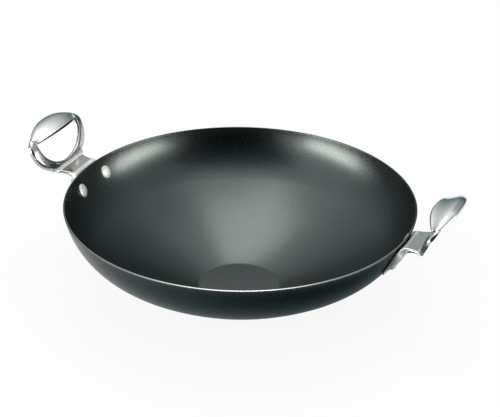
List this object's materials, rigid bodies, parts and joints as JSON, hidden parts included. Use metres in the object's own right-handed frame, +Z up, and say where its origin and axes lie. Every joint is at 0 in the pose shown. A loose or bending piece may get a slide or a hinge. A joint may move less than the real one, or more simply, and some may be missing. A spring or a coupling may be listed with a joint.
{
  "type": "two-handled iron wok",
  "caption": "Round-sided iron wok with a small flat base and a riveted steel ring handle on each side, each ring topped by a domed polished grip.",
  "frame": {"origin": "centre of the flat base, on the surface that the wok stands on", "axes": "+Z up out of the mouth, +X through the right handle, +Y to the rear"},
  "size_m": [0.3882, 0.3, 0.1234],
  "materials": {
    "blued_iron": "satin heat-blued sheet iron",
    "plate_steel": "bright pressed steel",
    "polished_steel": "mirror polished",
    "rivet_metal": "bright satin"
  },
  "bodies": {
    "root": {"wok_bowl": "blued_iron", "handle_right": "plate_steel", "handle_left": "plate_steel", "grip_right": "polished_steel", "grip_left": "polished_steel", "rivet_right_front": "rivet_metal", "rivet_right_rear": "rivet_metal", "rivet_left_front": "rivet_metal", "rivet_left_rear": "rivet_metal"}
  },
  "joints": []
}
